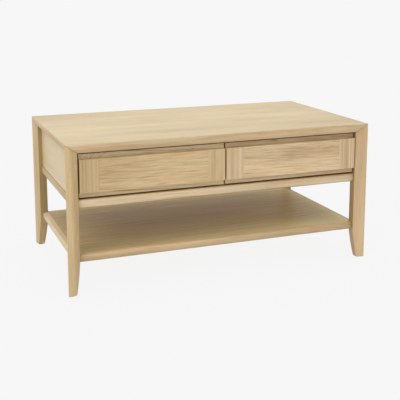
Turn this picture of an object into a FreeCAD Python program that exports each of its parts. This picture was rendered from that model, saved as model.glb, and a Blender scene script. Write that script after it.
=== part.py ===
import FreeCAD, Part
import math
import os

import Sketcher

# A coffee table with two drawers and a shelf. The frame's origin is on the floor, under the middle
# of the top: +X runs along the length, +Y to the back and +Z up. The drawers open towards -Y.

# Driving dimensions, in millimetres.
SIZES = {
    "table_length": 1100,
    "table_depth": 600,
    "table_height": 500,
    "leg_width": 42,
    "leg_slant": 14,
    "leg_bulge": 3.2,
    "leg_edge_radius": 2,
    "foot_taper": 14,
    "foot_bulge": 1.2,
    "foot_chamfer": 1.5,
    "glide_radius": 8,
    "glide_thickness": 3,
    "glide_stand": 1,
    "band_height": 31,
    "band_lip": 3,
    "top_thickness": 22,
    "case_recess": 23,
    "panel_recess": 27.5,
    "rail_height": 30,
    "rail_bulge": 2,
    "rail_arris_radius": 7,
    "drawer_opening_height": 154.5,
    "shelf_underside": 105,
    "shelf_thickness": 26,
    "shelf_bulge": 3,
    "shelf_arris_radius": 7,
    "centre_rail_width": 44,
    "case_bottom_drop": 10,
    "case_bottom_thickness": 5,
    "divider_thickness": 18,
    "divider_setback": 2,
    "drawer_gap_leg": 4.5,
    "drawer_gap_centre": 5,
    "drawer_gap_top": 4.5,
    "drawer_gap_bottom": 7,
    "pull_height": 16.5,
    "raised_thickness": 13,
    "raised_arris_radius": 1.5,
    "stile_width": 63,
    "drawer_side_thickness": 14,
    "drawer_side_gap": 5,
    "drawer_side_lift": 3.5,
    "drawer_side_drop": 18.5,
    "drawer_rear_gap": 46,
    "drawer_back_rise": 14,
    "drawer_hold": 145,
    "drawer_bottom_thickness": 6,
    "drawer_bottom_lift": 8,
    "drawer_bottom_housing": 5,
    "runner_height": 16,
    "runner_projection": 11,
    "runner_lift": 52,
    "runner_front_gap": 18,
    "runner_rear_gap": 28,
    "runner_clearance": 0.3,
    "runner_end_clearance": 0.5,
    "stop_length": 60,
    "stop_thickness": 20,
    "stop_clearance": 6,
    "batten_width": 16,
    "batten_height": 20,
    "batten_end_gap": 8,
    "dowel_radius": 3,
    "dowel_spacing": 14,
    "dowel_offset": 6.5,
    "dowel_leg_depth": 9,
    "dowel_strip_depth": 20,
    "screw_radius": 1.75,
    "screw_head_radius": 3.5,
    "screw_head_height": 2.5,
    "screw_bite": 7,
    "fit_clearance": 0.05,
    "cut_overrun": 5,
}

# Where the screws sit along a runner or a batten, and the glide on the foot's diagonal.
SCREW_PLACE_SHARES = (0.1, 0.5, 0.9)
GLIDE_PLACE_SHARE = 0.6

# Two places closer than this are the same place.
SAME_PLACE = 1e-6

QUARTER_TURN_DEGREES = 90

# How a sketch numbers the ends of a line or an arc, and its own origin.
START_INDEX, END_INDEX = 1, 2
ORIGIN_INDEX = (-1, START_INDEX)

doc = FreeCAD.newDocument("CoffeeTable")
sheet = doc.addObject("Spreadsheet::Sheet", "Dimensions")
for row, (alias, number) in enumerate(SIZES.items(), start=1):
    sheet.set(f"A{row}", alias)
    sheet.set(f"B{row}", str(number))
    sheet.setAlias(f"B{row}", alias)
doc.recompute()


class Formula:
    """A size worked out from the sheet: the text that binds a property to it, and its value."""

    def __init__(self, text, value):
        self.text = text
        self.value = value

    def __add__(self, other):
        return joined(self, "+", other, self.value + value_of(other))

    def __sub__(self, other):
        return joined(self, "-", other, self.value - value_of(other))

    def __mul__(self, other):
        return joined(self, "*", other, self.value * value_of(other))

    def __truediv__(self, other):
        return joined(self, "/", other, self.value / value_of(other))

    def __neg__(self):
        return Formula(f"-({self.text})", -self.value)

    __rmul__ = __mul__


def value_of(item):
    return item.value if isinstance(item, Formula) else item


def text_of(item):
    return item.text if isinstance(item, Formula) else str(item)


def joined(left, sign, right, value):
    return Formula(f"({text_of(left)} {sign} {text_of(right)})", value)


class Cells:
    """The sheet's cells by their aliases."""

    def __getattr__(self, alias):
        return Formula(f"Dimensions.{alias}", float(sheet.get(alias)))


s = Cells()
ZERO = Formula("0", 0.0)

# Planes that the pieces share.
half_length = s.table_length / 2
half_depth = s.table_depth / 2
inner_x = half_length - s.leg_width
inner_y = half_depth - s.leg_width
case_x = half_length - s.case_recess
case_y = half_depth - s.case_recess
panel_x = half_length - s.panel_recess
panel_y = half_depth - s.panel_recess
top_underside = s.table_height - s.top_thickness
band_bottom = s.table_height - s.band_height
rail_top = band_bottom - s.drawer_opening_height
rail_bottom = rail_top - s.rail_height
shelf_top = s.shelf_underside + s.shelf_thickness
mitre_slope = s.band_height / s.leg_width
bevel_width = s.top_thickness / mitre_slope
band_width = s.band_lip + bevel_width

nodes = []


def bind(item, name, size):
    item.setExpression(name, text_of(size))


def place(item, spot):
    for axis, size in zip("xyz", spot):
        bind(item, f"Placement.Base.{axis}", size)


def finish(item, label):
    """Keeps an object as a piece of the table under its own name."""
    item.Label = label
    nodes.append(item)
    return item


def span(side, near, far):
    """The low and high end of a stretch between two distances from the middle, on one side."""
    return (near, far) if side > 0 else (-far, -near)


def edge_names(shape, along, sides):
    """The edges that run along an axis on the given sides of the shape's box, such as y- and z+."""
    box = shape.BoundBox
    limits = {
        "x-": box.XMin, "x+": box.XMax,
        "y-": box.YMin, "y+": box.YMax,
        "z-": box.ZMin, "z+": box.ZMax,
    }
    names = []
    for number, edge in enumerate(shape.Edges, start=1):
        direction = edge.tangentAt(edge.FirstParameter)
        middle = edge.CenterOfMass
        runs_along = abs(abs(getattr(direction, along)) - 1) < SAME_PLACE
        if runs_along and all(abs(getattr(middle, side[0]) - limits[side]) < SAME_PLACE for side in sides):
            names.append(f"Edge{number}")
    return names


def edges_through(shape, along, spots):
    """The edges that run along an axis through the given places, seen along that axis."""
    seen = [axis for axis in "xyz" if axis != along]
    names = []
    for number, edge in enumerate(shape.Edges, start=1):
        runs_along = all(getattr(edge.BoundBox, axis.upper() + "Length") < SAME_PLACE for axis in seen)
        middle = [getattr(edge.CenterOfMass, axis) for axis in seen]
        if runs_along and any(math.dist(middle, spot) < SAME_PLACE for spot in spots):
            names.append(f"Edge{number}")
    return names


def board(label, low, high, arris=None, rounded=()):
    """A straight board between two corners. The edges named in rounded get the arris radius."""
    body = doc.addObject("PartDesign::Body", label)
    block = body.newObject("PartDesign::AdditiveBox", label + "_block")
    for name, start, end in zip(("Length", "Width", "Height"), low, high):
        bind(block, name, end - start)
    place(body, low)
    if rounded:
        doc.recompute()
        names = [name for along, sides in rounded for name in edge_names(block.Shape, along, sides)]
        rounding = body.newObject("PartDesign::Fillet", label + "_rounding")
        rounding.Base = (block, names)
        bind(rounding, "Radius", arris)
    return body


def housing(body, label, body_low, low, high):
    """A straight groove cut out of a board, between two corners of the table's frame."""
    cut = body.newObject("PartDesign::SubtractiveBox", label)
    for name, start, end in zip(("Length", "Width", "Height"), low, high):
        bind(cut, name, end - start)
    place(cut, [spot - corner for spot, corner in zip(low, body_low)])


TURN_TO_AXIS = {
    "x+": FreeCAD.Rotation(FreeCAD.Vector(0, 1, 0), 90),
    "x-": FreeCAD.Rotation(FreeCAD.Vector(0, 1, 0), -90),
    "y+": FreeCAD.Rotation(FreeCAD.Vector(1, 0, 0), -90),
    "z+": FreeCAD.Rotation(),
}


def rod(label, radius, length, start, axis):
    """A round rod from its start along an axis."""
    item = doc.addObject("Part::Cylinder", label)
    item.Placement = FreeCAD.Placement(FreeCAD.Vector(), TURN_TO_AXIS[axis])
    bind(item, "Radius", radius)
    bind(item, "Height", length)
    place(item, start)
    return item


def screw(label, length, start, axis, clearance):
    """A countersunk screw with its head at the start; with a clearance, the bore that takes it."""
    shank = rod(label + "_shank", s.screw_radius + clearance, length + clearance, start, axis)
    head = doc.addObject("Part::Cone", label + "_head")
    head.Placement = FreeCAD.Placement(FreeCAD.Vector(), TURN_TO_AXIS[axis])
    bind(head, "Radius1", s.screw_head_radius + clearance)
    bind(head, "Radius2", s.screw_radius + clearance)
    bind(head, "Height", s.screw_head_height)
    place(head, start)
    whole = doc.addObject("Part::Fuse", label)
    whole.Base = head
    whole.Tool = shank
    return whole


def group(label, items):
    """Several separate solids in one object."""
    bundle = doc.addObject("Part::Compound", label)
    bundle.Links = items
    return bundle


def bored(label, blank, bores):
    """A piece with the bores of its dowels or screws cut out."""
    cut = doc.addObject("Part::Cut", label)
    cut.Base = blank
    cut.Tool = bores
    return cut


def origin_plane(body, role):
    return next(item for item in body.Origin.OriginFeatures if item.Role == role)


def outline(body, label, role, loops):
    """A sketch on one of the body's planes. A loop is a list of corners (across, up, bulge): the
    stretch that starts at a corner is an arc where bulge gives its radius and a point on it."""
    sketch = body.newObject("Sketcher::SketchObject", label)
    sketch.AttachmentSupport = [(origin_plane(body, role), "")]
    sketch.MapMode = "FlatFace"
    for corners in loops:
        draw_loop(sketch, corners)
    return sketch


def draw_loop(sketch, corners):
    spots = [FreeCAD.Vector(across.value, up.value, 0) for across, up, bulge in corners]
    stretches = []
    for index, (across, up, bulge) in enumerate(corners):
        start, end = spots[index], spots[(index + 1) % len(spots)]
        if bulge is None:
            number = sketch.addGeometry(Part.LineSegment(start, end))
            stretches.append((number, START_INDEX, END_INDEX))
        else:
            number = sketch.addGeometry(Part.Arc(start, bulge[1], end))
            to_start = (sketch.getPoint(number, START_INDEX) - start).Length
            to_end = (sketch.getPoint(number, END_INDEX) - start).Length
            ends = (START_INDEX, END_INDEX) if to_start < to_end else (END_INDEX, START_INDEX)
            stretches.append((number, *ends))
    for index, (number, first, last) in enumerate(stretches):
        before, before_first, before_last = stretches[index - 1]
        sketch.addConstraint(Sketcher.Constraint("Coincident", before, before_last, number, first))
    for (number, first, last), (across, up, bulge) in zip(stretches, corners):
        hold(sketch, Sketcher.Constraint("DistanceX", *ORIGIN_INDEX, number, first, across.value), across)
        hold(sketch, Sketcher.Constraint("DistanceY", *ORIGIN_INDEX, number, first, up.value), up)
        if bulge is not None:
            hold(sketch, Sketcher.Constraint("Radius", number, bulge[0].value), bulge[0])


def hold(sketch, constraint, size):
    number = sketch.addConstraint(constraint)
    sketch.setExpression(f"Constraints[{number}]", text_of(size))


def shallow_arc(start, end, sagitta, towards):
    """The radius of an arc over a chord, and the point in its middle on the given side."""
    across = end[0] - start[0]
    up = end[1] - start[1]
    radius = (across * across + up * up) / (8 * sagitta) + sagitta / 2
    chord = FreeCAD.Vector(across.value, up.value, 0)
    middle = FreeCAD.Vector(start[0].value, start[1].value, 0) + chord / 2
    outward = FreeCAD.Vector(chord.y, -chord.x, 0).normalize() * towards
    return radius, middle + outward * sagitta.value


def through_cut(body, sketch, label, turned):
    """A cut with the sketch's outline, right through the body."""
    pocket = body.newObject("PartDesign::Pocket", label)
    pocket.Profile = sketch
    pocket.Type = "ThroughAll"
    pocket.Reversed = turned
    return pocket


def leg_section():
    """The leg's plan from its outer ridge: two faces that curve back towards the inner edges."""
    ridge = (ZERO, ZERO)
    front_end = (s.leg_width, s.leg_slant)
    side_end = (s.leg_slant, s.leg_width)
    return [
        (*ridge, shallow_arc(ridge, front_end, s.leg_bulge, 1)),
        (*front_end, None),
        (s.leg_width, s.leg_width, None),
        (*side_end, shallow_arc(side_end, ridge, s.leg_bulge, 1)),
    ]


def mitre_above():
    """What the mitre takes off the leg's top, seen from the front or from the side."""
    top = s.table_height - s.glide_stand
    rise = mitre_slope * s.cut_overrun
    return [
        (-s.cut_overrun, top + rise, None),
        (s.leg_width + s.cut_overrun, top - s.band_height - rise, None),
        (s.leg_width + s.cut_overrun, top + rise, None),
    ]


def taper_inside():
    """What the taper takes off the foot's inner face, a little rounded along its height."""
    tall = s.shelf_underside - s.glide_stand
    foot_width = s.leg_width - s.foot_taper
    knee = (s.leg_width, tall)
    toe = (foot_width, ZERO)
    return [
        (*knee, shallow_arc(knee, toe, s.foot_bulge, -1)),
        (*toe, None),
        (foot_width, -s.cut_overrun, None),
        (s.leg_width + s.cut_overrun, -s.cut_overrun, None),
        (s.leg_width + s.cut_overrun, tall, None),
    ]


def leg(label, side_x, side_y, turn):
    """A leg, made with its ridge on its own upright axis and turned to its corner of the table."""
    body = doc.addObject("PartDesign::Body", label)
    post = body.newObject("PartDesign::Pad", label + "_post")
    post.Profile = outline(body, label + "_section", "XY_Plane", [leg_section()])
    bind(post, "Length", s.table_height - s.glide_stand)
    doc.recompute()
    deep, wide = s.leg_slant.value, s.leg_width.value
    rounding = body.newObject("PartDesign::Fillet", label + "_edge_rounding")
    rounding.Base = (post, edges_through(post.Shape, "z", ((wide, deep), (deep, wide))))
    bind(rounding, "Radius", s.leg_edge_radius)
    for role, turned in (("XZ_Plane", False), ("YZ_Plane", True)):
        mitre = outline(body, label + "_mitre_" + role, role, [mitre_above()])
        through_cut(body, mitre, label + "_mitre_cut_" + role, turned)
        taper = outline(body, label + "_taper_" + role, role, [taper_inside()])
        tapered = through_cut(body, taper, label + "_taper_cut_" + role, turned)
    doc.recompute()
    faces = tapered.Shape.Faces
    lowest = min(range(len(faces)), key=lambda index: faces[index].CenterOfMass.z)
    chamfer = body.newObject("PartDesign::Chamfer", label + "_foot_chamfer")
    chamfer.Base = (tapered, [f"Face{lowest + 1}"])
    bind(chamfer, "Size", s.foot_chamfer)
    recess = body.newObject("PartDesign::SubtractiveCylinder", label + "_glide_recess")
    bind(recess, "Radius", s.glide_radius + s.fit_clearance)
    bind(recess, "Height", s.glide_thickness - s.glide_stand)
    place(recess, (glide_place, glide_place, ZERO))
    body.Placement = FreeCAD.Placement(FreeCAD.Vector(), FreeCAD.Rotation(FreeCAD.Vector(0, 0, 1), turn))
    place(body, (half_length * side_x, half_depth * side_y, s.glide_stand))
    return body


def edge_band(label, length, corner, turn):
    """A band along one edge of the top: undercut outside, bevelled where the top panel lies in it,
    mitred to the next bands in plan and to the legs below."""
    body = doc.addObject("PartDesign::Body", label)
    arris = (ZERO, s.table_height)
    foot = (s.leg_slant, band_bottom)
    section = [
        (*foot, shallow_arc(foot, arris, s.leg_bulge, -1)),
        (*arris, None),
        (s.band_lip, s.table_height, None),
        (band_width, top_underside, None),
        (band_width, band_bottom, None),
    ]
    strip = body.newObject("PartDesign::Pad", label + "_strip")
    strip.Profile = outline(body, label + "_section", "YZ_Plane", [section])
    bind(strip, "Length", length)

    wide = band_width + s.cut_overrun
    low = band_bottom - mitre_slope * s.cut_overrun
    high = s.table_height + mitre_slope * s.cut_overrun
    plan_loops = []
    leg_loops = []
    for at, inward in ((ZERO, 1), (length, -1)):
        outside = at - s.cut_overrun * inward
        plan_loops.append([
            (outside, -s.cut_overrun, None),
            (at + wide * inward, wide, None),
            (outside, wide, None),
        ])
        leg_loops.append([
            (outside, high, None),
            (at + (s.leg_width + s.cut_overrun) * inward, low, None),
            (outside, low, None),
        ])
    plan = outline(body, label + "_plan_mitres", "XY_Plane", plan_loops)
    through_cut(body, plan, label + "_plan_mitre_cuts", True)
    legs = outline(body, label + "_leg_mitres", "XZ_Plane", leg_loops)
    through_cut(body, legs, label + "_leg_mitre_cuts", False)
    body.Placement = FreeCAD.Placement(FreeCAD.Vector(), FreeCAD.Rotation(FreeCAD.Vector(0, 0, 1), turn))
    place(body, corner)
    return finish(body, label)


def top_panel():
    """The top, with its four edges bevelled underneath to lie in the bands."""
    panel = doc.addObject("Part::Wedge", "top_panel_blank")
    top_x = half_length - s.band_lip
    top_y = half_depth - s.band_lip
    limits = {
        "Xmin": bevel_width - top_x, "Xmax": top_x - bevel_width,
        "Zmin": bevel_width - top_y, "Zmax": top_y - bevel_width,
        "X2min": -top_x, "X2max": top_x,
        "Z2min": -top_y, "Z2max": top_y,
        "Ymin": ZERO, "Ymax": s.top_thickness,
    }
    for name, size in limits.items():
        bind(panel, name, size)
    panel.Placement = FreeCAD.Placement(FreeCAD.Vector(), FreeCAD.Rotation(FreeCAD.Vector(1, 0, 0), 90))
    place(panel, (ZERO, ZERO, top_underside))
    return panel


# The sides of the table, from the front in quarter turns: what a strip there runs along, and its side.
QUARTERS = (("x", -1), ("y", 1), ("x", 1), ("y", -1))


def strip_between_legs(label, along, side, level):
    """A rail or shelf lipping between two legs. Its outer face swells a little and its two outer long
    edges are rounded."""
    low_z, high_z, bulge, arris = level
    if along == "x":
        length, corner = 2 * inner_x, (inner_x * side, case_y * side, ZERO)
    else:
        length, corner = 2 * inner_y, (case_x * side, -inner_y * side, ZERO)
    thickness = s.leg_width - s.case_recess
    foot, head = (bulge, low_z), (bulge, high_z)
    section = [
        (*foot, shallow_arc(foot, head, bulge, -1)),
        (*head, None),
        (thickness, high_z, None),
        (thickness, low_z, None),
    ]
    body = doc.addObject("PartDesign::Body", label)
    strip = body.newObject("PartDesign::Pad", label + "_strip")
    strip.Profile = outline(body, label + "_section", "YZ_Plane", [section])
    bind(strip, "Length", length)
    doc.recompute()
    rounding = body.newObject("PartDesign::Fillet", label + "_rounding")
    spots = [(across.value, up.value) for across, up in (foot, head)]
    rounding.Base = (strip, edges_through(strip.Shape, "x", spots))
    bind(rounding, "Radius", arris)
    turn = QUARTERS.index((along, side)) * QUARTER_TURN_DEGREES
    body.Placement = FreeCAD.Placement(FreeCAD.Vector(), FreeCAD.Rotation(FreeCAD.Vector(0, 0, 1), turn))
    place(body, corner)
    return body


def strip_dowels(label, along, side, middle_z, clearance):
    """The dowels at both ends of a strip, two at each end; with a clearance, their bores."""
    across = (case_y if along == "x" else case_x) - s.dowel_offset
    reach = inner_x if along == "x" else inner_y
    length = s.dowel_leg_depth + s.dowel_strip_depth + 2 * clearance
    rods = []
    for end in (-1, 1):
        start = span(end, reach - s.dowel_strip_depth - clearance, reach + s.dowel_leg_depth + clearance)[0]
        for level in (-1, 1):
            up = middle_z + s.dowel_spacing / 2 * level
            spot = (start, across * side, up) if along == "x" else (across * side, start, up)
            name = f"{label}_{len(rods)}"
            rods.append(rod(name, s.dowel_radius + clearance, length, spot, along + "+"))
    return rods


# The strips between the legs: what they run along, their side of the table, their heights and rounding.
rail_level = (rail_bottom, rail_top, s.rail_bulge, s.rail_arris_radius)
shelf_level = (s.shelf_underside, shelf_top, s.shelf_bulge, s.shelf_arris_radius)
STRIPS = {
    "front_rail": ("x", -1, rail_level),
    "back_rail": ("x", 1, rail_level),
    "side_rail_left": ("y", -1, rail_level),
    "side_rail_right": ("y", 1, rail_level),
    "shelf_lipping_front": ("x", -1, shelf_level),
    "shelf_lipping_back": ("x", 1, shelf_level),
    "shelf_lipping_left": ("y", -1, shelf_level),
    "shelf_lipping_right": ("y", 1, shelf_level),
}

# Dowels, and the bores that take them.
rail_dowels = []
shelf_dowels = []
bores = []
for name, (along, side, level) in STRIPS.items():
    middle_z = (level[0] + level[1]) / 2
    dowels = rail_dowels if "rail" in name else shelf_dowels
    dowels.extend(strip_dowels(name + "_dowel", along, side, middle_z, ZERO))
    bores.extend(strip_dowels(name + "_bore", along, side, middle_z, s.fit_clearance))
dowel_bores = group("dowel_bores", bores)
finish(group("rail_dowels_group", rail_dowels), "rail_dowels")
finish(group("shelf_dowels_group", shelf_dowels), "shelf_dowels")

for name, (along, side, level) in STRIPS.items():
    blank = strip_between_legs(name + "_blank", along, side, level)
    finish(bored(name + "_bored", blank, dowel_bores), name)

# Legs and the glides under them.
glide_place = (s.leg_width - s.foot_taper) * GLIDE_PLACE_SHARE
glides = []
for quarter, (name, side_x, side_y) in enumerate((
    ("leg_front_left", -1, -1),
    ("leg_front_right", 1, -1),
    ("leg_back_right", 1, 1),
    ("leg_back_left", -1, 1),
)):
    turn = quarter * QUARTER_TURN_DEGREES
    finish(bored(name + "_bored", leg(name + "_blank", side_x, side_y, turn), dowel_bores), name)
    spot = ((half_length - glide_place) * side_x, (half_depth - glide_place) * side_y, ZERO)
    glides.append(rod(name + "_glide", s.glide_radius, s.glide_thickness, spot, "z+"))
finish(group("foot_glides_group", glides), "foot_glides")

# Bands round the top.
for quarter, (word, length, corner) in enumerate((
    ("front", s.table_length, (-half_length, -half_depth, ZERO)),
    ("right", s.table_depth, (half_length, -half_depth, ZERO)),
    ("back", s.table_length, (half_length, half_depth, ZERO)),
    ("left", s.table_depth, (-half_length, half_depth, ZERO)),
)):
    edge_band(f"top_edge_{word}", length, corner, quarter * QUARTER_TURN_DEGREES)

# Heights and lengths inside the case.
drawer_front_bottom = rail_top + s.drawer_gap_bottom
drawer_front_top = band_bottom - s.drawer_gap_top
drawer_side_bottom = drawer_front_bottom + s.drawer_side_lift
drawer_side_top = drawer_front_top - s.drawer_side_drop
drawer_rear = inner_y - s.drawer_rear_gap
drawer_bottom_low = drawer_side_bottom + s.drawer_bottom_lift
drawer_bottom_high = drawer_bottom_low + s.drawer_bottom_thickness
drawer_travel = drawer_rear + inner_y - s.drawer_hold
drawer_back_front = drawer_rear - s.drawer_side_thickness
runner_low = drawer_side_bottom + s.runner_lift
runner_high = runner_low + s.runner_height
runner_front = s.runner_front_gap - inner_y
runner_rear = inner_y - s.runner_rear_gap
divider_face = s.divider_thickness / 2
batten_reach = inner_y - s.batten_end_gap

# Screws through the runners and the battens, and the bores that take them.
RUNNERS = {
    "drawer_runner_left_outer": (-1, inner_x - s.runner_projection, inner_x),
    "drawer_runner_left_inner": (-1, divider_face, divider_face + s.runner_projection),
    "drawer_runner_right_inner": (1, divider_face, divider_face + s.runner_projection),
    "drawer_runner_right_outer": (1, inner_x - s.runner_projection, inner_x),
}


def runner_screws(clearance, word):
    screws = []
    length = runner_rear - runner_front
    middle_z = (runner_low + runner_high) / 2
    for name, (side, near, far) in RUNNERS.items():
        outer = name.endswith("outer")
        head_x = (near if outer else far) * side
        points_right = (side > 0) == outer
        for share in SCREW_PLACE_SHARES:
            spot = (head_x, runner_front + length * share, middle_z)
            label = f"{name}_{word}_{len(screws)}"
            axis = "x+" if points_right else "x-"
            screws.append(screw(label, s.runner_projection + s.screw_bite, spot, axis, clearance))
    return screws


def batten_screws(clearance, word):
    screws = []
    for side in (-1, 1):
        for share in SCREW_PLACE_SHARES:
            spot = (
                (inner_x - s.batten_width / 2) * side,
                batten_reach * (2 * share - 1),
                top_underside - s.batten_height,
            )
            label = f"batten_{word}_{len(screws)}"
            screws.append(screw(label, s.batten_height + s.screw_bite, spot, "z+", clearance))
    return screws


runner_bores = group("runner_bores", runner_screws(s.fit_clearance, "bore"))
batten_bores = group("batten_bores", batten_screws(s.fit_clearance, "bore"))
finish(group("runner_screws_group", runner_screws(ZERO, "screw")), "runner_screws")
finish(group("batten_screws_group", batten_screws(ZERO, "screw")), "batten_screws")
finish(bored("top_panel_bored", top_panel(), batten_bores), "top_panel")

# Side panels on the side rails, the battens inside them, and the back panel on the back rail.
for word, side in (("left", -1), ("right", 1)):
    low_x, high_x = span(side, inner_x, panel_x)
    panel = board(f"side_panel_{word}_blank", (low_x, -inner_y, rail_top), (high_x, inner_y, band_bottom))
    finish(bored(f"side_panel_{word}_bored", panel, runner_bores), f"side_panel_{word}")
    low_x, high_x = span(side, inner_x - s.batten_width, inner_x)
    low = (low_x, -batten_reach, top_underside - s.batten_height)
    batten = board(f"top_batten_{word}_blank", low, (high_x, batten_reach, top_underside))
    finish(bored(f"top_batten_{word}_bored", batten, batten_bores), f"top_batten_{word}")
back = board("back_panel_board", (-inner_x, inner_y, rail_top), (inner_x, panel_y, band_bottom))
finish(back, "back_panel")

# Centre rail from front to back, and the divider that stands on it between the drawers.
half_rail = s.centre_rail_width / 2
low = (-half_rail, -inner_y, rail_bottom)
finish(board("centre_rail_board", low, (half_rail, inner_y, rail_top)), "centre_rail")
low = (-divider_face, s.divider_setback - inner_y, rail_top)
divider = board("centre_divider_blank", low, (divider_face, inner_y, top_underside))
finish(bored("centre_divider_bored", divider, runner_bores), "centre_divider")

# Bottom boards of the case, between the rails.
case_bottom_high = rail_top - s.case_bottom_drop
for word, side in (("left", -1), ("right", 1)):
    low_x, high_x = span(side, half_rail, inner_x)
    low = (low_x, -inner_y, case_bottom_high - s.case_bottom_thickness)
    bottom_board = board(f"case_bottom_{word}_board", low, (high_x, inner_y, case_bottom_high))
    finish(bottom_board, f"case_bottom_{word}")

for name, (side, near, far) in RUNNERS.items():
    low_x, high_x = span(side, near, far)
    strip = board(name + "_blank", (low_x, runner_front, runner_low), (high_x, runner_rear, runner_high))
    finish(bored(name + "_bored", strip, runner_bores), name)

# Shelf panel inside its lippings.
low = (-inner_x, -inner_y, s.shelf_underside)
finish(board("shelf_panel_board", low, (inner_x, inner_y, shelf_top)), "shelf_panel")

# Places across one drawer, as distances from the middle of the table.
front_near = s.drawer_gap_centre / 2
front_far = inner_x - s.drawer_gap_leg
inner_side_near = divider_face + s.drawer_side_gap
inner_side_far = inner_side_near + s.drawer_side_thickness
outer_side_far = inner_x - s.drawer_side_gap
outer_side_near = outer_side_far - s.drawer_side_thickness
drawer_middle = (inner_side_near + outer_side_far) / 2


def raised_piece(label, side, near, far, ends):
    """A piece of the raised panel on the drawer front, its free front edges rounded."""
    low_x, high_x = span(side, near, far)
    low = (low_x, -case_y - s.raised_thickness, drawer_front_bottom + s.pull_height)
    high = (high_x, -case_y, drawer_front_top - s.pull_height)
    rounded = [("x", ("y-", "z-")), ("x", ("y-", "z+"))]
    rounded += [("z", ("y-", "x" + end)) for end in ends]
    return finish(board(label + "_board", low, high, s.raised_arris_radius, rounded), label)


def drawer_side(label, side, near, far, runner_outside):
    """A drawer side with the groove for its runner outside and for the drawer's bottom inside."""
    low_x, high_x = span(side, near, far)
    low = (low_x, -inner_y, drawer_side_bottom)
    body = board(label + "_board", low, (high_x, drawer_rear, drawer_side_top))
    depth = s.runner_projection - s.drawer_side_gap + s.runner_end_clearance
    if runner_outside:
        groove_x = span(side, far - depth, far + s.cut_overrun)
        bottom_x = span(side, near - s.cut_overrun, near + s.drawer_bottom_housing)
    else:
        groove_x = span(side, near - s.cut_overrun, near + depth)
        bottom_x = span(side, far - s.drawer_bottom_housing, far + s.cut_overrun)
    rear = drawer_rear + s.cut_overrun
    groove_low = (groove_x[0], runner_front - s.runner_end_clearance, runner_low - s.runner_clearance)
    groove_high = (groove_x[1], rear, runner_high + s.runner_clearance)
    housing(body, label + "_runner_groove", low, groove_low, groove_high)
    bottom_start = (bottom_x[0], -inner_y - s.cut_overrun, drawer_bottom_low)
    housing(body, label + "_bottom_groove", low, bottom_start, (bottom_x[1], rear, drawer_bottom_high))
    return finish(body, label)


def drawer(word, side):
    """One drawer: a front board with its raised panel, two sides, a back and a bottom."""
    low_x, high_x = span(side, front_near, front_far)
    low = (low_x, -case_y, drawer_front_bottom)
    front = board(f"drawer_front_{word}_board", low, (high_x, -inner_y, drawer_front_top))
    finish(front, f"drawer_front_{word}")
    outer_end = "+" if side > 0 else "-"
    inner_end = "-" if side > 0 else "+"
    raised_piece(f"drawer_panel_{word}", side, front_near + s.stile_width, front_far - s.stile_width, "")
    raised_piece(f"drawer_stile_{word}_inner", side, front_near, front_near + s.stile_width, inner_end)
    raised_piece(f"drawer_stile_{word}_outer", side, front_far - s.stile_width, front_far, outer_end)
    drawer_side(f"drawer_side_{word}_outer", side, outer_side_near, outer_side_far, True)
    drawer_side(f"drawer_side_{word}_inner", side, inner_side_near, inner_side_far, False)
    low_x, high_x = span(side, inner_side_far, outer_side_near)
    low = (low_x, drawer_back_front, drawer_bottom_high)
    high = (high_x, drawer_rear, drawer_side_top + s.drawer_back_rise)
    back = board(f"drawer_back_{word}_board", low, high)
    finish(back, f"drawer_back_{word}")
    housed = s.drawer_bottom_housing
    low_x, high_x = span(side, inner_side_far - housed, outer_side_near + housed)
    low = (low_x, -inner_y, drawer_bottom_low)
    bottom = board(f"drawer_bottom_{word}_board", low, (high_x, drawer_rear, drawer_bottom_high))
    finish(bottom, f"drawer_bottom_{word}")


drawer("left", -1)
drawer("right", 1)

# Blocks under the top that the drawer backs meet when the drawers are fully out.
stops = []
stop_rear = drawer_back_front - drawer_travel - s.runner_end_clearance
for side in (-1, 1):
    low_x, high_x = span(side, drawer_middle - s.stop_length / 2, drawer_middle + s.stop_length / 2)
    low = (low_x, stop_rear - s.stop_thickness, drawer_side_top + s.stop_clearance)
    stops.append(board(f"drawer_stop_{len(stops)}", low, (high_x, stop_rear, top_underside)))
finish(group("drawer_stops_group", stops), "drawer_stops")

doc.recompute()

failed = [item.Name for item in doc.Objects if "Invalid" in item.State or "Error" in item.State]
if failed:
    raise RuntimeError("objects that failed: " + ", ".join(failed))
for item in nodes:
    if item.Shape.isNull() or not item.Shape.isValid() or not item.Shape.Solids:
        raise RuntimeError("no valid shape: " + item.Label)

os.makedirs("parts", exist_ok=True)
for item in nodes:
    item.Shape.exportStep(f"parts/{item.Label}.step")
print(f"{len(nodes)} pieces, drawer travel {drawer_travel.value} mm")
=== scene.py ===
"""Looks of the coffee table: the finish of every piece, the floor, the light and the camera."""
import math

import bpy
from mathutils import Euler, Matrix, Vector


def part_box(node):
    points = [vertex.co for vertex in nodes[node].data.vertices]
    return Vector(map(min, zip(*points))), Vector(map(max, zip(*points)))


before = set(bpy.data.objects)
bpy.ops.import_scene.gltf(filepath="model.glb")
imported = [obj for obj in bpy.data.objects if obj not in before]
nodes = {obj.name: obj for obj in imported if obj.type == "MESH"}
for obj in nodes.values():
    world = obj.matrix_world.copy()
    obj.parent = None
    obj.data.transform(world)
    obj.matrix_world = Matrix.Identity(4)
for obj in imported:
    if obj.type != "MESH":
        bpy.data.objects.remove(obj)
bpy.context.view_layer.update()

# Camera of the photograph's view, in metres and degrees. The focal length is in pixels of a 400-pixel frame.
CAMERA_PLACE = (-1.0513, -2.7572, 1.0055)
CAMERA_TURN = 21.194
CAMERA_TILT = 10.022
FRAME_PIXELS = 400
FOCAL_PIXELS = 810.87
FRAME_SHIFT = -0.19
SENSOR_WIDTH = 36.0
FAR_CLIP = 500.0

# Soft lights: the direction that each comes from, and its strength.
SOFT_LIGHTS = {
    "overhead": ((0.0, 0.0, 1.0), 1.62),
    "left_front": ((-1.0, -0.8, 1.2), 0.78),
    "right_front": ((1.0, -1.0, 1.2), 0.14),
}
LIGHT_SPREAD = math.radians(40)

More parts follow.
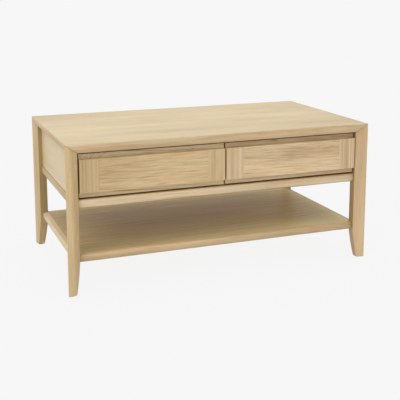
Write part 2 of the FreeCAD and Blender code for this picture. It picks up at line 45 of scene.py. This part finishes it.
# The white surround: its strength at the horizon and higher up, and the sine of the elevation where the
# change ends.
HORIZON = 0.93
SURROUND = 0.68
HORIZON_FADE = 0.35

# The floor: its width in metres, and a dark grey that glows almost white, so that shadows on it stay faint.
FLOOR_SIZE = 160.0
FLOOR_GREY = 0.03
FLOOR_GLOW = 0.887
FLOOR_ROUGHNESS = 0.9
WHITE = (1.0, 1.0, 1.0, 1.0)

# The rounding of the arrises, in metres. Points within the weld's reach join, faces that meet at less than
# the flat angle become one, and edges that turn by more than the sharp angle are rounded.
WELD_REACH = 1e-6
FLAT_ANGLE = math.radians(0.5)
SHARP_ANGLE = math.radians(28)
ARRIS_WIDTH = 0.0006
ARRIS_SEGMENTS = 2

# How a texture whose grain runs along X is turned to run along another axis.
GRAIN_TURNS = {
    "X": (0.0, 0.0, 0.0),
    "Y": (0.0, 0.0, math.radians(-90)),
    "Z": (0.0, math.radians(90), 0.0),
}

# How far apart two pieces with successive seeds lie in the noise.
SEED_STEPS = (3.7, 1.3, 2.1)

# Tones of pale oak by their darkness, and the brown of its pores.
MIDDLE_DARKNESS = 0.5
OAK_TONES = (
    (0.0, (0.66, 0.505, 0.300)),
    (MIDDLE_DARKNESS, (0.545, 0.395, 0.215)),
    (1.0, (0.40, 0.265, 0.125)),
)
PORE_BROWN = (0.25, 0.15, 0.065, 1.0)

# What multiplies the tone in pink patches, as painted shade on undersides and inner faces, and as warm
# painted shade in narrow gaps.
BLUSH_TINT = (1.03, 0.955, 0.93, 1.0)
SHADE_TINT = (0.66, 0.61, 0.49, 1.0)
GAP_SHADE_TINT = (1.0, 0.82, 0.55, 1.0)

# Noise in the materials: its waves to the metre, along the grain and across it, and its detail and roughness
# where they are not the usual ones.
WANDER_NOISE = {"waves": (1.7, 4.0), "detail": 1.0}
WAVER_NOISE = {"waves": (9.0, 40.0)}
FIBRE_NOISE = {"waves": (16.0, 560.0), "detail": 3.0, "roughness": 0.6}
LINE_NOISE = {"waves": (7.0, 210.0), "detail": 1.0}
BLUSH_NOISE = {"waves": (3.0, 17.0)}
PORE_NOISE = {"waves": (70.0, 1500.0), "roughness": 0.6}
GRIT_NOISE = {"waves": (900.0, 900.0)}
STREAK_ROUGHNESS = 0.55

# Ramps from a value to a grey: (value, grey) at each stop.
RING_STOPS = ((0.0, 0.35), (0.08, 1.0), (0.4, 0.3), (0.8, 0.0), (1.0, 0.35))
LINE_STOPS = ((0.60, 0.0), (0.74, 1.0))
BLUSH_STOPS = ((0.42, 0.0), (0.66, 1.0))
PORE_STOPS = ((0.33, 1.0), (0.43, 0.0))
# The next three ramps shape painted shade: on undersides, on faces towards the middle of the table, and on
# the sides of narrow gaps.
UNDER_SHADE_STOPS = ((0.1, 0.0), (0.8, 1.0))
INNER_SHADE_STOPS = ((0.7, 0.0), (0.97, 1.0))
GAP_SHADE_STOPS = ((0.6, 0.0), (0.95, 1.0))
MITRE_STOPS = ((0.0, 1.0), (1.0, 0.0))

# The strength of a growth ring: the least, what chance adds at most, and its part in the darkness.
RING_LEAST = 0.2
RING_SPREAD = 0.9
RING_PART = 0.6

# How strongly pores show between the rings, and what the rings add to that.
PORE_LEAST = 0.14
PORE_SPREAD = 0.4

# The surface: how high fibres stand beside the depth of pores, how much rougher pores are, and the lacquer.
FIBRE_HEIGHT = 0.5
PORE_ROUGHNESS = 0.3
LACQUER_IOR = 1.47

# Bumps: their strength, and their depth in metres.
OAK_BUMP = (0.3, 0.0004)
GRIT_BUMP = (0.1, 0.0002)

# Where a sweep of the grain begins, along a board from its middle.
SWEEP_START = -0.13

# The mitre of an edge band with a leg: its run for each unit of height, and the width of the line along it.
MITRE_RUN = 1.4
MITRE_LINE_WIDTH = 0.003

# Finishes of the small parts that are not wood, and the darker tint of their grit.
STEEL = {"colour": (0.62, 0.62, 0.60), "roughness": 0.35, "metallic": 1.0}
PLASTIC = {"colour": (0.10, 0.07, 0.05), "roughness": 0.5}
GRIT_TINT = (0.8, 0.8, 0.8)

# Looks of oak. X runs along the grain, and lengths are in metres.
# heart: how far the middle of the piece lies from the heart line of its rings, in Y and Z
# ring, taper: the width of a ring, and how much its radius grows for each metre along the grain
# wander, waver, sweep: how far the grain's line strays slowly, quickly, and up at the upper left end
# lean, edge, fade: the darkness that each metre along X, Y and Z adds
# figure, streak, fibre, band, line: the strength of rings, streaks, fibres, broad bands and thin dark lines
# streak_waves, band_waves: waves to the metre, along the grain and across it
# blush, tint: the strength of pink patches, and what multiplies the tones
# roughness, gloss: those of the lacquer
# gaps: how far faces along X, and faces that look up, get the warm painted shade of a narrow gap
# under, inner: how far undersides, and faces towards the middle of the table, get painted shade
# mitre: whether a dark line runs along the mitres
SOLID = {
    "heart": (0.16, 0.05), "ring": 0.0055, "taper": 0.02, "wander": 0.03, "waver": 0.004, "sweep": 0.0,
    "lean": 0.0, "edge": 0.0, "fade": 0.0, "figure": 0.35, "streak": 0.8, "streak_waves": (4.0, 90.0),
    "fibre": 0.35, "band": 0.7, "band_waves": (1.1, 16.0), "line": 0.25, "blush": 0.5,
    "tint": (1.0, 1.0, 1.0), "roughness": 0.42, "gloss": 0.5, "gaps": (0.0, 0.0), "under": 0.0, "inner": 0.0,
    "mitre": False,
}
VENEER = {
    **SOLID, "heart": (0.03, 0.35), "ring": 0.009, "figure": 0.25, "streak": 0.5,
    "streak_waves": (1.6, 70.0), "band": 0.9, "band_waves": (0.9, 5.0), "blush": 0.6,
}
FIGURED = {
    **SOLID, "heart": (0.01, 0.09), "ring": 0.012, "taper": 0.06, "wander": 0.05, "figure": 0.45,
    "streak": 1.3, "streak_waves": (13.0, 220.0), "fibre": 0.8, "band": 1.6, "band_waves": (2.5, 14.0),
    "line": 0.5, "blush": 0.8,
}
STRIPED = {
    **SOLID, "heart": (0.3, 0.02), "ring": 0.006, "wander": 0.004, "waver": 0.001, "taper": 0.002,
    "figure": 0.5, "streak": 1.4, "streak_waves": (2.0, 160.0), "band": 0.0, "gaps": (0.8, 0.0),
}
PATCHY = {**SOLID, "blush": 1.6, "band": 1.4}
# Legs get painted shade on their undersides and on their faces towards the middle of the table.
LEG = {**SOLID, "under": 1.0, "inner": 1.0}
BOX_WOOD = {
    **SOLID, "figure": 0.25, "streak": 0.4, "fibre": 0.3, "tint": (1.10, 1.12, 1.15), "roughness": 0.5,
}

# The look of each piece, by the first of these that its name starts with, and what differs from that look.
# The tints are set piece by piece to the tone that each piece shows under its light, so besides the wood's
# own tone they hold painted light and shade.
LOOKS = {
    # The tints of the top and side panels make them less red, and make the side panel lighter. Besides the
    # veneer's own tone, this is partly a painted sheen.
    "top_panel": (VENEER, {
        "tint": (0.88, 0.95, 0.95), "roughness": 0.36, "band": 1.7, "fibre": 0.7, "streak": 0.8, "lean": 0.2,
    }),
    "side_panel": (VENEER, {"tint": (1.16, 1.26, 1.30), "roughness": 0.36}),
    "back_panel": (VENEER, {}),
    # Painted sheen: the shelf panel grows lighter towards its right end.
    "shelf_panel": (VENEER, {
        "figure": 0.4, "streak": 1.1, "streak_waves": (1.6, 90.0), "line": 0.4, "lean": -0.55,
        "tint": (0.98, 1.045, 0.885), "gloss": 0.25,
    }),
    "top_edge_front": (PATCHY, {"tint": (1.16, 1.20, 1.27), "mitre": True}),
    "top_edge": (PATCHY, {"tint": (0.99, 0.99, 0.93), "mitre": True}),
    "front_rail": (PATCHY, {"tint": (1.18, 1.28, 1.46), "blush": 0.8, "under": 1.0, "gaps": (0.0, 1.0)}),
    "side_rail": (SOLID, {"tint": (0.90, 0.89, 0.82), "under": 1.0, "gaps": (0.0, 1.0)}),
    "shelf_lipping_front": (PATCHY, {"tint": (0.94, 0.96, 0.95), "under": 1.0}),
    "shelf_lipping_left": (SOLID, {"tint": (1.18, 1.30, 1.40), "under": 1.0}),
    # Painted shade: the right shelf lipping darkens towards its outer edge.
    "shelf_lipping_right": (SOLID, {"tint": (0.80, 0.82, 0.78), "edge": -50.0, "under": 1.0}),
    "shelf_lipping": (SOLID, {"under": 1.0}),
    # Painted shade: the front left leg darkens across its width towards its inner edge, away from the light
    # on the left.
    "leg_front_left": (LEG, {"fade": -8.0, "tint": (1.06, 1.07, 1.03)}),
    "leg_front_right": (LEG, {"blush": 1.6, "band": 1.4, "tint": (1.02, 0.99, 1.01)}),
    "leg_back_left": (LEG, {"tint": (0.97, 0.985, 0.97)}),
    "leg": (LEG, {}),
    "drawer_panel_left": (FIGURED, {"fade": 3.0, "lean": -0.5, "blush": 1.4, "tint": (1.0, 1.02, 0.98)}),
    "drawer_panel_right": (FIGURED, {"fade": 2.0, "tint": (1.07, 1.10, 1.16)}),
    "drawer_stile_left_outer": (STRIPED, {"tint": (0.91, 0.875, 0.80), "streak": 1.0, "band": 0.4}),
    "drawer_stile_right_outer": (STRIPED, {
        "tint": (1.07, 1.09, 1.16), "streak": 1.6, "band": 1.6, "band_waves": (2.0, 45.0), "line": 0.5,
    }),
    "drawer_stile_right": (STRIPED, {"tint": (1.03, 1.04, 1.10)}),
    "drawer_stile": (STRIPED, {"tint": (0.99, 1.0, 0.98)}),
    "drawer_front_right": (FIGURED, {
        "tint": (0.82, 0.81, 0.78), "fade": 5.2, "band": 2.6, "line": 1.2, "blush": 0.4, "gaps": (0.8, 0.0),
    }),
    "drawer_front": (FIGURED, {
        "tint": (0.84, 0.865, 0.83), "lean": -0.8, "fade": -3.2, "band": 2.6, "line": 1.2, "blush": 0.4,
        "figure": 2.0, "sweep": 6.0, "gaps": (0.8, 0.0),
    }),
    "drawer_bottom": (BOX_WOOD, {"figure": 0.1}),
    "drawer": (BOX_WOOD, {}),
    "centre": (BOX_WOOD, {}),
    # The warm dark tint of the case bottoms partly stands for the brown shade seen in the gaps.
    "case_bottom": (BOX_WOOD, {"tint": (0.95, 0.84, 0.66)}),
    "top_batten": (BOX_WOOD, {}),
}


def set_inputs(tree, node, inputs):
    """Gives a node's inputs values, or links them to outputs of other nodes."""
    for key, value in inputs.items():
        socket = node.inputs[key]
        if isinstance(value, bpy.types.NodeSocket):
            tree.links.new(value, socket)
        else:
            socket.default_value = value


def add(tree, kind, inputs, **settings):
    """Adds a shader node and returns it."""
    node = tree.nodes.new("ShaderNode" + kind)
    for name, value in settings.items():
        setattr(node, name, value)
    set_inputs(tree, node, inputs)
    return node


def coordinates(tree, kind):
    """Texture coordinates of one kind."""
    return add(tree, "TexCoord", {}).outputs[kind]


def split(tree, vector):
    """The X, Y and Z of a vector."""
    return add(tree, "SeparateXYZ", {0: vector}).outputs


def vectors(tree, operation, first, second):
    """The result of one operation on two vectors."""
    return add(tree, "VectorMath", {0: first, 1: second}, operation=operation).outputs[0]


def arithmetic(tree, operation, *terms):
    """The result of one operation on values."""
    return add(tree, "Math", dict(enumerate(terms)), operation=operation).outputs[0]


def total(tree, *terms):
    """The sum of several values."""
    result = terms[0]
    for term in terms[1:]:
        result = arithmetic(tree, "ADD", result, term)
    return result


def product(tree, first, second):
    """The product of two values."""
    return arithmetic(tree, "MULTIPLY", first, second)


def square(tree, value):
    """The square of a value."""
    return arithmetic(tree, "POWER", value, 2.0)


def centred(tree, value, amount):
    """A noise value moved to lie round zero and scaled by an amount."""
    return arithmetic(tree, "MULTIPLY_ADD", value, amount, -amount / 2)


def mixed(tree, share, first, second, blend="MIX"):
    """A colour between two others, or the first one multiplied by a share of the second."""
    node = add(tree, "Mix", {0: share, 6: first, 7: second}, data_type="RGBA", blend_type=blend)
    return node.outputs[2]


def ramp(tree, value, stops):
    """A colour or a grey that goes straight from stop to stop, each (value, tone)."""
    node = add(tree, "ValToRGB", {0: value})
    points = node.color_ramp.elements
    while len(points) < len(stops):
        points.new(0.5)
    for point, (place, tone) in zip(points, stops):
        point.position = place
        point.color = (*tone, 1.0) if isinstance(tone, tuple) else (tone, tone, tone, 1.0)
    return node.outputs[0]


def noise(tree, vector, waves, detail=2.0, roughness=0.5):
    """Noise with so many waves to the metre along X and across it."""
    along, across = waves
    scaled = vectors(tree, "MULTIPLY", vector, (along, across, across))
    inputs = {"Vector": scaled, "Scale": 1.0, "Detail": detail, "Roughness": roughness}
    return add(tree, "TexNoise", inputs).outputs["Fac"]


def bumped(tree, height, strength, depth):
    """A surface normal that follows a height."""
    return add(tree, "Bump", {"Height": height, "Strength": strength, "Distance": depth}).outputs[0]


def new_material(name):
    """A material with a bare shader, its node tree and that shader."""
    material = bpy.data.materials.new(name)
    material.use_nodes = True
    tree = material.node_tree
    tree.nodes.clear()
    shader = add(tree, "BsdfPrincipled", {})
    add(tree, "OutputMaterial", {"Surface": shader.outputs[0]})
    return material, tree, shader


def scaled_tone(tone, tint):
    """A tone multiplied by a tint."""
    return tuple(part * share for part, share in zip(tone, tint))


def grain_place(tree, grain, centre):
    """The place on a piece, from its middle, turned so that X runs along the grain."""
    turn = Euler(GRAIN_TURNS[grain])
    middle = centre.copy()
    middle.rotate(turn)
    inputs = {"Vector": coordinates(tree, "Object"), "Location": -middle, "Rotation": turn}
    return add(tree, "Mapping", inputs).outputs[0]


def grain_drift(tree, parts, own, look):
    """How far the grain's line strays: slowly along the piece, a little everywhere, and up in a sweep."""
    wander = centred(tree, noise(tree, own, **WANDER_NOISE), look["wander"])
    waver = centred(tree, noise(tree, own, **WAVER_NOISE), look["waver"])
    beyond = arithmetic(tree, "MAXIMUM", arithmetic(tree, "SUBTRACT", SWEEP_START, parts["X"]), 0.0)
    curve = product(tree, square(tree, beyond), look["sweep"])
    upper = arithmetic(tree, "GREATER_THAN", parts["Z"], 0.0)
    return total(tree, wander, waver, product(tree, curve, upper))


def growth_rings(tree, parts, drift, look):
    """Rings round a heart line, each with its own strength, and darkest where its pores begin."""
    across = total(tree, parts["Y"], drift, look["heart"][0])
    deep = total(tree, parts["Z"], drift, look["heart"][1])
    distance = arithmetic(tree, "SQRT", total(tree, square(tree, across), square(tree, deep)))
    radius = arithmetic(tree, "MULTIPLY_ADD", parts["X"], look["taper"], distance)
    count = arithmetic(tree, "DIVIDE", radius, look["ring"])
    profile = ramp(tree, arithmetic(tree, "FRACT", count), RING_STOPS)
    which = arithmetic(tree, "FLOOR", count)
    chance = add(tree, "TexWhiteNoise", {"W": which}, noise_dimensions="1D").outputs["Value"]
    return product(tree, profile, arithmetic(tree, "MULTIPLY_ADD", chance, RING_SPREAD, RING_LEAST))


def mitre_line(tree, parts, spans):
    """A line along the mitres at both ends of an edge band, 1 at the joint and 0 past the line's width."""
    reach = max(spans) / 2 - MITRE_RUN * spans.z / 2
    inner = arithmetic(tree, "SUBTRACT", reach, arithmetic(tree, "ABSOLUTE", parts["X"]))
    clear = arithmetic(tree, "MULTIPLY_ADD", parts["Z"], MITRE_RUN, inner)
    return ramp(tree, arithmetic(tree, "DIVIDE", clear, MITRE_LINE_WIDTH), MITRE_STOPS)


def painted_shade_mask(tree, normal, centre, look):
    """How much painted shade a surface gets: how far it faces down, or towards the middle of the table along
    X or Y.
    """
    down = ramp(tree, product(tree, normal["Z"], -look["under"]), UNDER_SHADE_STOPS)
    along_x = product(tree, normal["X"], math.copysign(look["inner"], -centre.x))
    along_y = product(tree, normal["Y"], math.copysign(look["inner"], -centre.y))
    inner = ramp(tree, arithmetic(tree, "MAXIMUM", along_x, along_y), INNER_SHADE_STOPS)
    return arithmetic(tree, "MAXIMUM", down, inner)


def gap_shade_mask(tree, normal, gaps):
    """How much warm painted shade a surface gets as the side of a narrow gap, by its share along X and its
    share upwards.
    """
    sideways = product(tree, arithmetic(tree, "ABSOLUTE", normal["X"]), gaps[0])
    upward = product(tree, normal["Z"], gaps[1])
    return ramp(tree, arithmetic(tree, "MAXIMUM", sideways, upward), GAP_SHADE_STOPS)


def oak(name, grain, centre, spans, seed, look):
    """Pale lacquered oak, with painted shade on some faces, for a piece with this grain axis, middle, size
    along each axis, and seed.
    """
    material, tree, shader = new_material(name)
    local = grain_place(tree, grain, centre)
    parts = split(tree, local)
    own = vectors(tree, "ADD", local, [seed * step for step in SEED_STEPS])
    drift = grain_drift(tree, parts, own, look)
    bend = add(tree, "CombineXYZ", {"Y": drift, "Z": drift}).outputs[0]
    flow = vectors(tree, "ADD", own, bend)

    # The darkness of the wood adds up from slow changes (on some pieces painted shade or a painted sheen),
    # thin lines, rings, streaks, fibres and broad bands.
    rings = growth_rings(tree, parts, drift, look)
    fibres = noise(tree, flow, **FIBRE_NOISE)
    streaks = noise(tree, flow, look["streak_waves"], roughness=STREAK_ROUGHNESS)
    darkness = [
        arithmetic(tree, "MULTIPLY_ADD", parts["Z"], look["fade"], MIDDLE_DARKNESS),
        product(tree, parts["X"], look["lean"]),
        product(tree, parts["Y"], look["edge"]),
        product(tree, ramp(tree, noise(tree, flow, **LINE_NOISE), LINE_STOPS), look["line"]),
        centred(tree, rings, RING_PART * look["figure"]),
        centred(tree, streaks, look["streak"]),
        centred(tree, fibres, look["fibre"]),
        centred(tree, noise(tree, flow, look["band_waves"]), look["band"]),
    ]
    if look["mitre"]:
        darkness.append(mitre_line(tree, parts, spans))
    tones = [(place, scaled_tone(tone, look["tint"])) for place, tone in OAK_TONES]
    wood = ramp(tree, total(tree, *darkness), tones)

    # Over it come pink patches, painted shade on undersides and inner faces, warm painted shade on faces in
    # narrow gaps, and short open pores.
    blush = ramp(tree, noise(tree, flow, **BLUSH_NOISE), BLUSH_STOPS)
    pink = mixed(tree, product(tree, blush, look["blush"]), wood, BLUSH_TINT, "MULTIPLY")
    normal = split(tree, coordinates(tree, "Normal"))
    shaded = mixed(tree, painted_shade_mask(tree, normal, centre, look), pink, SHADE_TINT, "MULTIPLY")
    gap_shaded = mixed(tree, gap_shade_mask(tree, normal, look["gaps"]), shaded, GAP_SHADE_TINT, "MULTIPLY")
    pores = ramp(tree, noise(tree, flow, **PORE_NOISE), PORE_STOPS)
    porous = product(tree, pores, arithmetic(tree, "MULTIPLY_ADD", rings, PORE_SPREAD, PORE_LEAST))
    height = arithmetic(tree, "SUBTRACT", product(tree, fibres, FIBRE_HEIGHT), porous)
    set_inputs(tree, shader, {
        "Base Color": mixed(tree, porous, gap_shaded, PORE_BROWN),
        "Roughness": arithmetic(tree, "MULTIPLY_ADD", porous, PORE_ROUGHNESS, look["roughness"]),
        "Normal": bumped(tree, height, *OAK_BUMP),
        "IOR": LACQUER_IOR,
        "Specular IOR Level": look["gloss"],
    })
    return material


def plain(name, colour, roughness, metallic=0.0):
    """A fine-textured material of one tone."""
    material, tree, shader = new_material(name)
    grit = noise(tree, coordinates(tree, "Object"), **GRIT_NOISE)
    set_inputs(tree, shader, {
        "Base Color": mixed(tree, grit, (*colour, 1.0), (*scaled_tone(colour, GRIT_TINT), 1.0)),
        "Roughness": roughness,
        "Metallic": metallic,
        "Normal": bumped(tree, grit, *GRIT_BUMP),
    })
    return material


def look_of(name):
    """The look of a wooden piece."""
    for start, (look, changes) in LOOKS.items():
        if name.startswith(start):
            return {**look, **changes}
    return SOLID


def soften(item):
    """Rounds the sharp edges of a piece a little."""
    weld = item.modifiers.new("joined", "WELD")
    weld.merge_threshold = WELD_REACH
    flats = item.modifiers.new("flats", "DECIMATE")
    flats.decimate_type = "DISSOLVE"
    flats.angle_limit = FLAT_ANGLE
    bevel = item.modifiers.new("arrises", "BEVEL")
    bevel.width = ARRIS_WIDTH
    bevel.segments = ARRIS_SEGMENTS
    bevel.limit_method = "ANGLE"
    bevel.angle_limit = SHARP_ANGLE
    bevel.use_clamp_overlap = False
    bevel.harden_normals = True


def dress():
    """Gives every piece its finish. The grain of wood runs along the piece, and upright on the stiles."""
    steel = plain("zinc_plated_steel", **STEEL)
    plastic = plain("brown_plastic", **PLASTIC)
    for seed, (name, item) in enumerate(sorted(nodes.items()), start=1):
        low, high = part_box(name)
        if "screws" in name:
            finish = steel
        elif "glides" in name:
            finish = plastic
        else:
            spans = high - low
            longest = "XYZ"[max(range(3), key=lambda axis: spans[axis])]
            grain = "Z" if "stile" in name else longest
            finish = oak("oak_" + name, grain, (low + high) / 2, spans, seed, look_of(name))
            soften(item)
        item.data.materials.clear()
        item.data.materials.append(finish)


def lay_floor():
    """A wide pale floor that glows."""
    bpy.ops.mesh.primitive_plane_add(size=FLOOR_SIZE)
    floor = bpy.context.object
    floor.name = "studio_floor"
    material, tree, shader = new_material("pale_floor")
    set_inputs(tree, shader, {
        "Base Color": (FLOOR_GREY, FLOOR_GREY, FLOOR_GREY, 1.0),
        "Roughness": FLOOR_ROUGHNESS,
        "Specular IOR Level": 0.0,
        "Emission Color": WHITE,
        "Emission Strength": FLOOR_GLOW,
    })
    floor.data.materials.append(material)


def light_studio():
    """A white surround, brightest at the horizon, and soft lights from above."""
    world = bpy.data.worlds.new("studio")
    bpy.context.scene.world = world
    world.use_nodes = True
    tree = world.node_tree
    rise = split(tree, coordinates(tree, "Generated"))["Z"]
    fade = {"Value": rise, "From Max": HORIZON_FADE, "To Min": HORIZON, "To Max": SURROUND}
    glow = add(tree, "MapRange", fade).outputs["Result"]
    set_inputs(tree, tree.nodes["Background"], {"Color": WHITE, "Strength": glow})
    for name, (direction, strength) in SOFT_LIGHTS.items():
        lamp = bpy.data.lights.new(name, "SUN")
        lamp.energy = strength
        lamp.angle = LIGHT_SPREAD
        light = bpy.data.objects.new(name, lamp)
        light.rotation_euler = Vector(direction).to_track_quat("Z", "Y").to_euler()
        bpy.context.scene.collection.objects.link(light)


def place_camera():
    """The camera of the photograph's view."""
    data = bpy.data.cameras.new("photo_view")
    data.sensor_width = SENSOR_WIDTH
    data.lens = FOCAL_PIXELS / FRAME_PIXELS * SENSOR_WIDTH
    data.shift_y = FRAME_SHIFT
    data.clip_end = FAR_CLIP
    item = bpy.data.objects.new("photo_view", data)
    item.location = CAMERA_PLACE
    item.rotation_euler = (math.radians(90 - CAMERA_TILT), 0.0, math.radians(-CAMERA_TURN))
    bpy.context.scene.collection.objects.link(item)
    bpy.context.scene.camera = item


dress()
lay_floor()
light_studio()
place_camera()
bpy.context.scene.view_settings.view_transform = "Standard"
bpy.context.scene.view_settings.look = "None"
